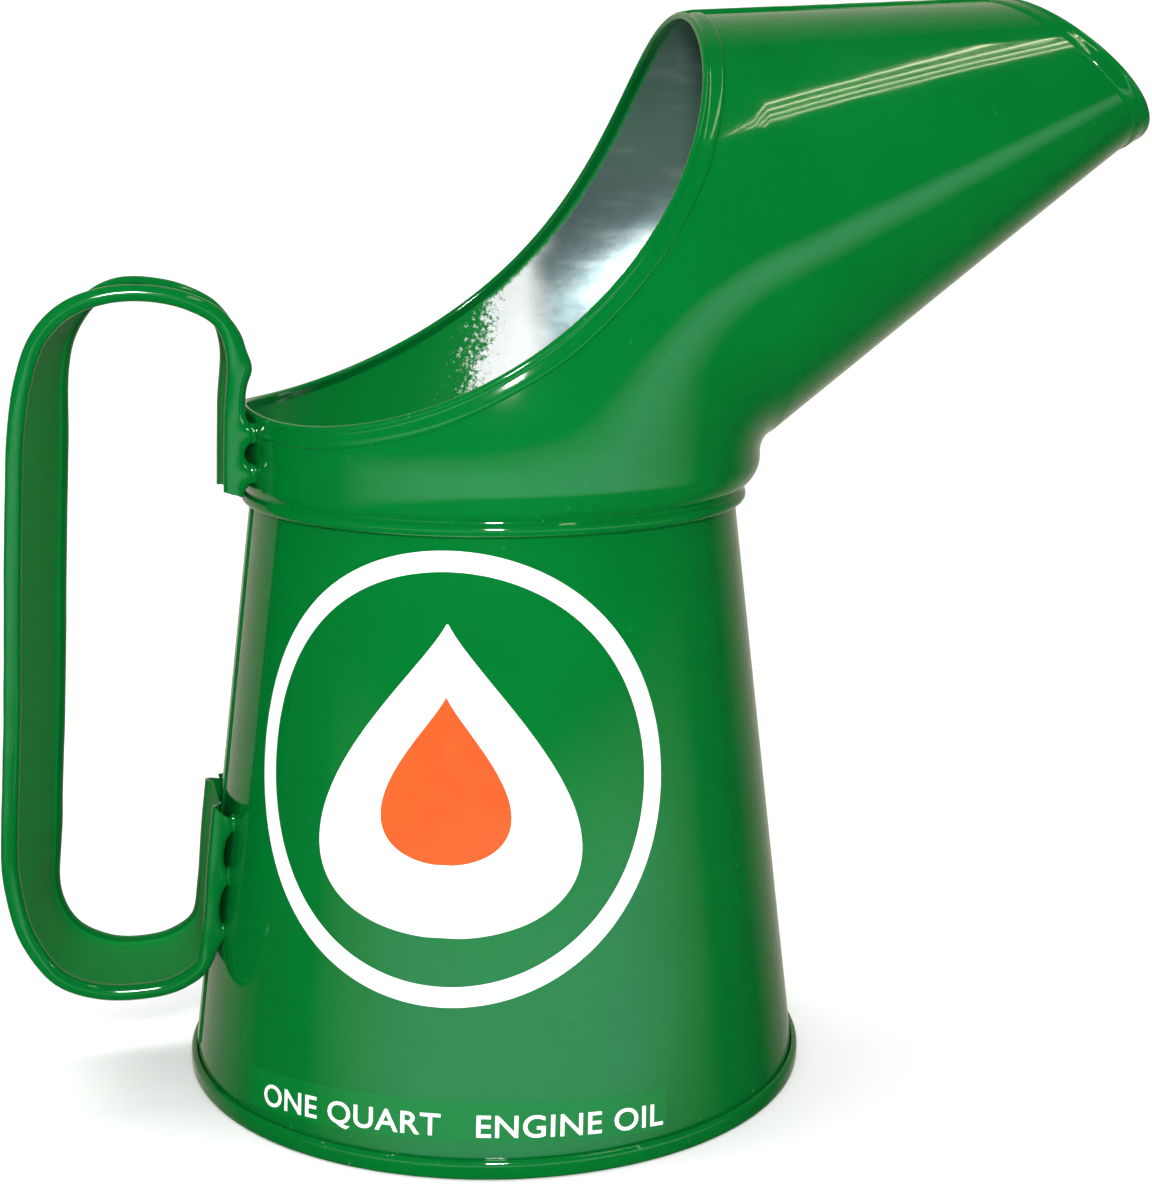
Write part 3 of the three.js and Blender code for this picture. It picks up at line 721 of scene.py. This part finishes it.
def hem(rim, distance, seed):
    """The folded edge: a round bead, a flat and a step down to the sheet. distance is below 0 on the sheet.
    The profile's points are how far in from the rim and how far out from the skin."""
    turn = np.radians(np.linspace(52, 285, 12))
    bead = [[HEM_RADIUS * (1 + math.cos(a)), HEM_RADIUS * math.sin(a)] for a in turn]
    profile = np.array(
        [[4.25, -0.06], [4.1, 0.18], [3.9, 0.36], [3.6, 0.44], [2.6, 0.46], [1.9, 0.44], [1.45, 0.45]]
        + bead
        + [[1.3, -0.6], [2.2, -0.56], [2.3, -0.3], [4.1, -0.3]]
    )
    tangent = np.roll(rim, -1, axis=0) - np.roll(rim, 1, axis=0)
    normal = hood_normal(rim)
    into = np.cross(normal, tangent)
    into /= np.linalg.norm(into, axis=1, keepdims=True)
    test = distance((rim + into)[:, [0, 2]])
    into[test > 0] *= -1
    uneven = np.array([wander(k, seed, 14.0) for k in range(len(rim))])
    step_from, skin_from = 2, 0.8  # the step wavers, and from the bead in it follows the skin
    rows = []
    for a, n in profile:
        width = a * (1 + 0.05 * uneven) if a > step_from else np.full(len(rim), a)
        p = rim + into * width[:, None]
        if a > skin_from:
            p = on_hood(p)
            lift = hood_normal(p)
        else:
            lift = normal
        rows.append(p + lift * (n + 0.04 * uneven * (n > 0.3))[:, None])
    verts = np.stack(rows, axis=1).reshape(-1, 3)
    count = len(profile)
    faces = grid_faces(len(rim), count, loop_rows=True, loop_columns=True)
    outward = np.cross(verts[faces[4][1]] - verts[faces[4][0]], verts[faces[4][3]] - verts[faces[4][0]])
    if outward @ normal[0] < 0:
        faces = [tuple(reversed(f)) for f in faces]
    wear = np.tile(np.clip(1.2 - np.abs(profile[:, 0] - 0.4), 0, 1) * (profile[:, 1] > -0.4), len(rim))
    return verts, faces, wear


def hood():
    """The hood's sheet with its crest seam, cut along both openings, and a hem on each."""
    sections = hood_sections()
    trim = 0.6  # the sheet ends this far inside its hems
    verts = []
    for bx, bz, ux, uz, depth, half in sections:
        angle, height = seam_columns(half, 216)
        rise = depth / 2 * (1 - np.cos(angle)) + (SEAM_RISE * height if bz > THROAT_Z + 1 else 0)
        verts.append(np.stack([bx + ux * rise, half * np.sin(angle), bz + uz * rise], axis=1))
    faces = grid_faces(len(sections), len(verts[0]), loop_columns=True)
    verts = np.vstack(verts)
    verts, faces = clipped(verts, faces, fill_distance(verts[:, [0, 2]]) + trim)
    verts, faces = clipped(verts, faces, mouth_distance(verts[:, [0, 2]]) + trim)
    inner = verts - SHEET * surface_normals(verts, faces)
    count = len(verts)
    verts, faces, numbers = thickened(verts, inner, faces)
    rim = -np.maximum(fill_distance(verts[:, [0, 2]]), mouth_distance(verts[:, [0, 2]]))
    wear = np.where(np.arange(len(verts)) < count, 0.35 * smooth((121 - verts[:, 2]) / 1.5), 0)
    parts = [(verts, faces, numbers)]
    for loop, distance, seed in ((fill_rim(), fill_distance, 11.0), (mouth_rim(), mouth_distance, 23.0)):
        v, f, w = hem(loop, distance, seed)
        parts.append((v, f, [0] * len(f)))
        wear = np.concatenate([wear, w])
        rim = np.concatenate([rim, np.zeros(len(v))])
    verts, faces, numbers = joined(*parts)
    mesh_piece("hood", verts, faces, [PAINT, INNER], ["hood_shell"], numbers, wear=wear, rim=rim)
    solder_run("hood_solder", crest_line(), np.array([0.18, 0, -0.98]), SOLDER_HALF_WIDTH, "hood_seam_solder")


def surface_normals(verts, faces):
    """Outward normals at the vertices of an open surface."""
    normal = np.zeros_like(verts)
    for f in faces:
        a, b, c = verts[f[0]], verts[f[1]], verts[f[2]]
        n = np.cross(b - a, c - a)
        if len(f) > 3:
            n = n + np.cross(c - a, verts[f[3]] - a)
        for v in f:
            normal[v] += n
    return normal / np.maximum(np.linalg.norm(normal, axis=1, keepdims=True), 1e-12)


def crest_line():
    """Just under the crest of the spout, clear of both hems."""
    below_skin = SHEET + 0.25
    points = []
    for reach in np.linspace(0, SPOUT_LENGTH, 80):
        crest = UNDERSIDE_RISE * reach + SPOUT_DEPTH - DEPTH_TAPER * reach
        top = HEEL + ALONG * reach + UP * (crest - below_skin)
        points.append([top[0], 0.0, top[1]])
    points = np.array(points)
    past_fill = points[:, 0] > FILL_CURVE[-1, 0] + HEM_CLEARANCE
    return points[past_fill & (points[:, 0] < MOUTH_HIGH[0] - HEM_CLEARANCE)]


# Handle ------------
def bumps(z, heights, spread):
    """1 at each height, falling to 0 within a few spreads."""
    return np.max([np.exp(-(((z - h) / spread) ** 2)) for h in heights], axis=0)


def strap_section(side, share, s, leg, reach):
    """Half of the strap's section at distances s along it: how far across, and how far out from the grip. share
    runs from the middle (0) to the lip (1). leg is 1 on the legs, where the curl is open and its lip stands out
    by reach."""
    rest = -0.25 + np.array([0.06 * wander(x, 40.0 + side, 18.0) for x in s])
    if share <= WEB_SHARE:
        return side * WEB_HALF_WIDTH * share / WEB_SHARE + 0 * s, rest
    if share <= BEND_SHARE:
        t = (share - WEB_SHARE) / (BEND_SHARE - WEB_SHARE)
        across = side * (WEB_HALF_WIDTH + (STRAP_HALF_WIDTH - WEB_HALF_WIDTH) * t)
        return across + 0 * s, rest + (-CURL_RADIUS - rest) * smooth(t)
    ragged = np.array([wander(x, 2.0 + side, 6.0) + 0.4 * wander(x, 9.0 + side, 2.5) for x in s])
    t = (share - BEND_SHARE) / (1 - BEND_SHARE)
    last = np.radians(178 + 10 * ragged) * (1 - leg) + np.radians(128 + 16 * ragged) * leg
    angle = -math.pi / 2 + (last + math.pi / 2) * t
    radius = CURL_RADIUS * np.array([1 + 0.06 * wander(x, 31.0 + side, 9.0) for x in s])
    out = np.where(angle > 0, radius * (1 - leg) + reach * leg, radius)
    return side * (STRAP_HALF_WIDTH + radius * np.cos(angle)), out * np.sin(angle) + 0.12 * ragged * t * leg


def end_cuts(side, share):
    """How far along the strap its first end is cut, and how far before the line's end its last. Both cuts are a
    little askew, and bent at the lips."""
    to_lip = smooth((share - 0.5) / 0.5)
    tilt = side * min(share / BEND_SHARE, 1.0)
    first = 0.1 - 1.3 * tilt - (1.1 * to_lip if side < 0 else 0)
    last = 1.2 * tilt + 0.2 + (2.8 * to_lip if side < 0 else -1.6 * smooth((share - 0.75) / 0.2))
    return first, last


def on_leg(x, z, upper, lower):
    """1 on the two legs, falling to 0 where they turn into the grip."""
    above = np.where(upper, smooth((UPPER_LEG_TOP - z) / 5), 0) * (x > UPPER_LEG_BACK)
    return above + np.where(lower, smooth((z - LOWER_LEG_FOOT) / 4), 0) * (x > LOWER_LEG_BACK)


def skew(x, z):
    """0 on the legs and 1 along the grip, but for its two corners."""
    top = 1 + (TOP_SKEW - 1) * smooth((z - TOP_CORNER) / 22)
    bottom = 1 + (BOTTOM_SKEW - 1) * smooth((BOTTOM_CORNER - z) / 25)
    return smooth((x - SKEW_FROM) / (SKEW_FULL - SKEW_FROM)) * (top * bottom)


def handle():
    """The strap, as rows along its line and columns across from the near lip to the far one."""
    count = 520
    line = spline([[x, 0.0, z] for x, z in STRAP_LINE], count)
    run = np.concatenate([[0], np.cumsum(np.linalg.norm(np.diff(line, axis=0), axis=1))])
    tangent = np.gradient(line, axis=0)
    tangent /= np.linalg.norm(tangent, axis=1, keepdims=True)
    whole = run[-1]
    shares = np.concatenate([
        np.linspace(0, WEB_SHARE, 6), np.linspace(WEB_SHARE, BEND_SHARE, 7)[1:],
        np.linspace(BEND_SHARE, 1, 17)[1:],
    ])
    both = [(-1, v) for v in shares[:0:-1]] + [(1, v) for v in shares]
    columns = []
    for side, share in both:
        first, last = end_cuts(side, share)
        s = first + np.linspace(0, 1, count) * (whole - first - last)
        x, z = (np.interp(s, run, line[:, k]) + np.minimum(s, 0) * tangent[0, k]
                + np.maximum(s - whole, 0) * tangent[-1, k] for k in (0, 2))
        tx, tz = (np.interp(s, run, tangent[:, k]) for k in (0, 2))
        upper, lower = s < whole * 0.3, s > whole * 0.7
        gap, rest = np.where(upper, UPPER_GAP, LOWER_GAP), np.where(upper, UPPER_REACH, LOWER_REACH)
        ragged = np.array([wander(v, 60.0 + side, 7.0) for v in s])
        touch = np.where(upper, bumps(z, UPPER_BUMPS, 2.1), bumps(z, LOWER_BUMPS, 2.4))
        touch = touch * np.where(z > WEAK_BUMP_Z, WEAK_BUMP, 1.0)
        reach = rest + 0.3 * ragged + (gap - 0.25 - rest) * touch
        u, w = strap_section(side, share, s, on_leg(x, z, upper, lower), reach)
        askew = STRAP_SKEW * skew(x, z) * u / STRAP_HALF_WIDTH
        columns.append(np.stack([x + w * tz + askew, u, z - w * tx], axis=1))
    middle = np.stack(columns, axis=1)
    across = np.gradient(middle, axis=1)
    along = np.gradient(middle, axis=0)
    normal = np.cross(along, across)
    normal /= np.linalg.norm(normal, axis=2, keepdims=True)
    half = STRAP_SHEET / 2
    verts = (middle + half * normal).reshape(-1, 3)
    faces = grid_faces(count, len(both))
    a, b, d = (verts[faces[0][k]] for k in (0, 1, 3))
    if np.cross(b - a, d - a) @ normal[0, 0] < 0:
        faces = [tuple(reversed(f)) for f in faces]
    verts, faces, _ = thickened(verts, (middle - half * normal).reshape(-1, 3), faces)
    lip = np.tile(np.array([max(0.0, (share - 0.9) * 10) for _, share in both]), 2 * count)
    web = np.tile(np.array([1.0 if share < DULL_SHARE else 0.0 for _, share in both]), 2 * count)
    mesh_piece("handle", verts, faces, [STRAP_PAINT], ["handle_strap"],
               sharp=50, wear=0.6 * lip, rim=web)


def tack(node, seed):
    """A blob of braze under the paint, pressed between the rolled edge and the wall."""
    low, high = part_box(node)
    centre = np.array((low + high) / 2) / MM - np.array([AXIS_X, 0, 0])
    centre[0] += 0.5
    half = (np.array(high - low) / 2 / MM + [0.35, 0, 0]) * [1.0, 0.8, 1.1]
    rows, columns = 20, 28
    verts = []
    for r in range(rows + 1):
        for c in range(columns):
            a, b = math.pi * r / rows, 2 * math.pi * c / columns
            d = np.array([math.cos(a), math.sin(a) * math.cos(b), math.sin(a) * math.sin(b)])
            lump = 1 + 0.16 * noise.noise(Vector(d * 1.7) + Vector((seed, 0, 0)))
            waist = 1 - 0.22 * (1 - d[0] ** 2)
            verts.append(centre + d * half * lump * np.array([1, waist, waist]))
    faces = grid_faces(rows + 1, columns, loop_columns=True)
    verts, faces = merged_poles(np.array(verts), faces, columns)
    mesh_piece(node.replace("tack", "braze"), verts, faces, [PAINT], [node],
               sharp=80, wear=np.full(len(verts), 0.15))


# Decals ------------
def wrapped(flat, z, lift):
    """Flat points laid on the body's cone, lift above the paint."""
    flat = np.asarray(flat, float)
    slope = math.atan(BODY_TAPER)
    apex = body_radius(z) / math.sin(slope)
    reach = np.hypot(flat[:, 0], apex - flat[:, 1])
    angle = DECAL_ANGLE + np.arctan2(flat[:, 0], apex - flat[:, 1]) / math.sin(slope)
    radius = reach * math.sin(slope)
    height = (BODY_RADIUS - radius) / BODY_TAPER
    return np.stack([(radius + lift) * np.cos(angle), (radius + lift) * np.sin(angle), height], axis=1)


def film_piece(name, rows, z, lift, material, node, loop=False):
    """A film from rows of flat points, laid on the body with its middle at height z."""
    flat = np.array(rows, float)
    count, columns = flat.shape[:2]
    flat = flat.reshape(-1, 2)
    faces = grid_faces(count, columns, loop_rows=loop)
    top, bottom = wrapped(flat, z, lift), wrapped(flat, z, lift - FILM_SHEET)
    a, b, c = (top[faces[0][k]] for k in (0, 1, 3))
    if np.cross(b - a, c - a) @ np.array([math.cos(DECAL_ANGLE), math.sin(DECAL_ANGLE), 0]) < 0:
        faces = [tuple(reversed(f)) for f in faces]
    verts, faces, _ = thickened(top, bottom, faces)
    mesh_piece(name, verts, faces, [material], [node])


def ring():
    radii = np.linspace(DECAL_RADIUS - DECAL_RING, DECAL_RADIUS, 4)
    rows = []
    for a in np.linspace(0, 2 * math.pi, 240, endpoint=False):
        rows.append([[r * math.cos(a), r * math.sin(a)] for r in radii])
    film_piece("ring", rows, DECAL_Z, WHITE_LIFT, WHITE_FILM, "ring_decal", loop=True)


def drop(name, size, lift, material, node):
    """A drop with its point up."""
    width, height = size
    widest = 0.69  # about the most that the outline's formula gives
    rows = []
    for share in np.linspace(0.03, 0.94, 90):
        turn = share * math.pi
        half = width / 2 * math.sin(turn) / widest * math.cos(turn / 2) ** 1.5
        rows.append([[half * u, -height / 2 * math.cos(turn)] for u in np.linspace(-1, 1, 25)])
    film_piece(name, rows, DECAL_Z, lift, material, node)


def label():
    half_length, half_height = LABEL_HALF
    rows = []
    for p in np.linspace(-half_length, half_length, 90):
        rows.append([[p, q] for q in np.linspace(-half_height, half_height, 5)])
    film_piece("label_film", rows, LABEL_Z, LABEL_LIFT, CLEAR_FILM, "label_decal")


def lettering(text):
    """Plain capitals on the label, in the flat on a straight line and then laid on the cone."""
    data = bpy.data.curves.new("lettering_text", "FONT")
    data.body = text
    data.space_character = 1.06
    data.offset = 0.010
    data.extrude = 0.5
    data.resolution_u = 6
    maker = bpy.data.objects.new("lettering_maker", data)
    bpy.context.scene.collection.objects.link(maker)
    bpy.context.view_layer.update()
    flat = bpy.data.meshes.new_from_object(maker.evaluated_get(bpy.context.evaluated_depsgraph_get()))
    bpy.data.objects.remove(maker)
    p = np.array([v.co for v in flat.vertices])
    faces = [tuple(f.vertices) for f in flat.polygons]
    low, high = p.min(axis=0), p.max(axis=0)
    q = (p - (low + high) / 2) / (high - low) * [*LETTERING, 1.0] + [LETTER_SHIFT, -LETTER_DROP, 0]
    below, above = wrapped(q[:, :2], LABEL_Z, LABEL_LIFT), wrapped(q[:, :2], LABEL_Z, LETTER_LIFT)
    verts = np.where((q[:, 2] > 0)[:, None], above, below)
    mesh_piece("lettering", verts, faces, [WHITE_FILM])


# The can ------------
body()
base()
hidden_seals()
seam_line = [[SHEET + 0.05 - body_radius(z), 0.0, z] for z in np.linspace(BASE_RECESS + 2, BODY_TOP - 2, 90)]
solder_run("body_solder", seam_line, np.array([1.0, 0, 0]), SOLDER_HALF_WIDTH, "body_seam_solder")
hood()
handle()
tacks = sorted(n for n in frame["nodes"] if "_tack_" in n)
for number, node in enumerate(tacks):
    tack(node, 3.7 * number)
ring()
drop("white_drop", WHITE_DROP, WHITE_LIFT, WHITE_FILM, "white_drop_decal")
drop("orange_drop", ORANGE_DROP, ORANGE_LIFT, ORANGE_FILM, "orange_drop_decal")
label()
lettering("ONE QUART   ENGINE OIL")


# Studio, in metres in the row frame ------------
def floor():
    """A pale floor that bends up into a backdrop. It is left out of reflections."""
    front, back, bend, top, half_width = -0.9, 0.9, 0.5, 2.2, 2.2
    profile = [[front, 0.0], [back, 0.0]]
    for a in np.linspace(0.1, math.pi / 2, 12):
        profile.append([back + bend * math.sin(a), bend - bend * math.cos(a)])
    profile.append([back + bend, top])
    verts = [[x, y, z] for y, z in profile for x in (-half_width, half_width)]
    mesh = bpy.data.meshes.new("floor")
    mesh.from_pydata(verts, [], grid_faces(len(profile), 2))
    mesh.shade_smooth()
    s = Shader("pale_floor")
    tint = s.mix(s.span(s.noise(3.0), 0.3, 0.7), (0.92, 0.92, 0.92, 1), (0.90, 0.90, 0.90, 1))
    mesh.materials.append(s.set(Base_Color=tint, Roughness=0.8))
    made = bpy.data.objects.new("floor", mesh)
    bpy.context.scene.collection.objects.link(made)
    made.visible_glossy = False


def area_light(name, place, target, size, power, color=(1, 1, 1), glossy=True, diffuse=True):
    data = bpy.data.lights.new(name, "AREA")
    data.shape = "RECTANGLE"
    data.size, data.size_y = size
    data.energy = power
    data.color = color
    light = bpy.data.objects.new(name, data)
    light.location = place
    light.rotation_euler = (Vector(target) - Vector(place)).to_track_quat("-Z", "Y").to_euler()
    light.visible_glossy = glossy
    light.visible_diffuse = diffuse
    bpy.context.scene.collection.objects.link(light)
    return light


def camera():
    """A camera in front of the near side. distance and height are in millimetres."""
    azimuth, distance, height = math.radians(10.0), 424.79, 184.83
    yaw, pitch, roll = 0.039, -0.204, 0.005
    turn = Matrix.Rotation(-azimuth, 3, "Z")
    ahead = Vector((math.sin(yaw) * math.cos(pitch), math.cos(yaw) * math.cos(pitch), math.sin(pitch)))
    level = Vector((math.cos(yaw), -math.sin(yaw), 0))
    right = level * math.cos(roll) + level.cross(ahead) * math.sin(roll)
    up = right.cross(ahead)
    data = bpy.data.cameras.new("camera")
    data.sensor_width = 36.0
    data.lens = 64.68
    data.clip_start = 0.01
    made = bpy.data.objects.new("camera", data)
    place = turn @ Vector((0, -distance, height)) + Vector((AXIS_X, 0, 0))
    columns = [turn @ right, turn @ up, turn @ -ahead]
    matrix = Matrix([[columns[c][r] for c in range(3)] for r in range(3)]).to_4x4()
    matrix.translation = place * MM
    made.matrix_world = matrix
    bpy.context.scene.collection.objects.link(made)
    bpy.context.scene.camera = made


WALL_TINT = (0.95, 0.92, 0.74, 1)
TABLE_TINT = (0.62, 0.95, 1.0, 1)


def world():
    """A dim room: beige walls behind the can, dark towards the camera but for the pale table top there."""
    room = bpy.data.worlds.new("studio")
    room.use_nodes = True
    tree = room.node_tree
    direction = tree.nodes.new("ShaderNodeTexCoord").outputs["Generated"]
    axes = tree.nodes.new("ShaderNodeSeparateXYZ")
    tree.links.new(direction, axes.inputs[0])
    back, up = axes.outputs[1], axes.outputs[2]

    def ramp(value, low, high, to_low, to_high):
        made = tree.nodes.new("ShaderNodeMapRange")
        for key, number in (("From Min", low), ("From Max", high), ("To Min", to_low), ("To Max", to_high)):
            made.inputs[key].default_value = number
        tree.links.new(value, made.inputs["Value"])
        return made.outputs[0]

    def combined(operation, a, b):
        made = tree.nodes.new("ShaderNodeMath")
        made.operation = operation
        tree.links.new(a, made.inputs[0])
        tree.links.new(b, made.inputs[1])
        return made.outputs[0]

    walls = ramp(back, 0.35, 0.95, 0.02, 0.50)
    in_front = ramp(back, -0.1, -0.75, 0.0, 1.2)
    below_far_edge = ramp(up, -0.03, -0.13, 0.0, 1.0)
    above_near_edge = ramp(up, -0.32, -0.20, 0.0, 1.0)
    table = combined("MULTIPLY", combined("MULTIPLY", in_front, below_far_edge), above_near_edge)
    tint = tree.nodes.new("ShaderNodeMix")
    tint.data_type = "RGBA"
    tint.inputs[6].default_value = WALL_TINT
    tint.inputs[7].default_value = TABLE_TINT
    tree.links.new(table, tint.inputs[0])
    background = tree.nodes["Background"]
    tree.links.new(tint.outputs[2], background.inputs[0])
    tree.links.new(combined("ADD", walls, table), background.inputs[1])
    bpy.context.scene.world = room
    bpy.context.scene.view_settings.view_transform = "Standard"


def ceiling_tubes():
    """Four warm tubes side by side overhead, seen only as the striped reflection along the hood."""
    start, end, height = np.array([0.58, -0.95]), np.array([0.71, 0.15]), 1.69
    count, spacing, width, power, warm = 4, 0.046, 0.008, 0.6, (1.0, 0.90, 0.62)
    length = float(np.linalg.norm(end - start))
    along = (end - start) / length
    side = np.array([-along[1], along[0]])
    for k in range(count):
        x, y = (start + end) / 2 + side * (k - (count - 1) / 2) * spacing
        size = (length, width)
        tube = area_light(f"tube_{k + 1}", (x, y, height), (x, y, 0), size, power, warm, diffuse=False)
        tube.rotation_euler = (0, 0, math.atan2(along[1], along[0]))


# Soft boxes that light the can but don't show in it: place, target, size and power.
SOFT_BOXES = {
    "overhead": ((0.0, -0.2, 1.6), (0, 0, 0.1), (1.8, 1.8), 13.0),
    "front_fill": ((-0.4, -1.5, 0.7), (0, 0, 0.1), (1.4, 1.0), 8.0),
    "left_fill": ((-1.5, -0.3, 0.6), (0, 0, 0.1), (1.0, 1.0), 5.0),
    "right_fill": ((1.5, -0.3, 0.6), (0, 0, 0.1), (1.0, 1.0), 4.0),
    "backdrop_wash": ((0.0, 0.3, 1.7), (0, 1.3, 0.5), (2.4, 0.6), 30.0),
}

floor()
camera()
world()
for box, settings in SOFT_BOXES.items():
    area_light(box, *settings, glossy=False)
area_light("flash", (-0.095, -0.44, 0.25), (0, 0, 0.11), (0.05, 0.035), 2.0)
ceiling_tubes()
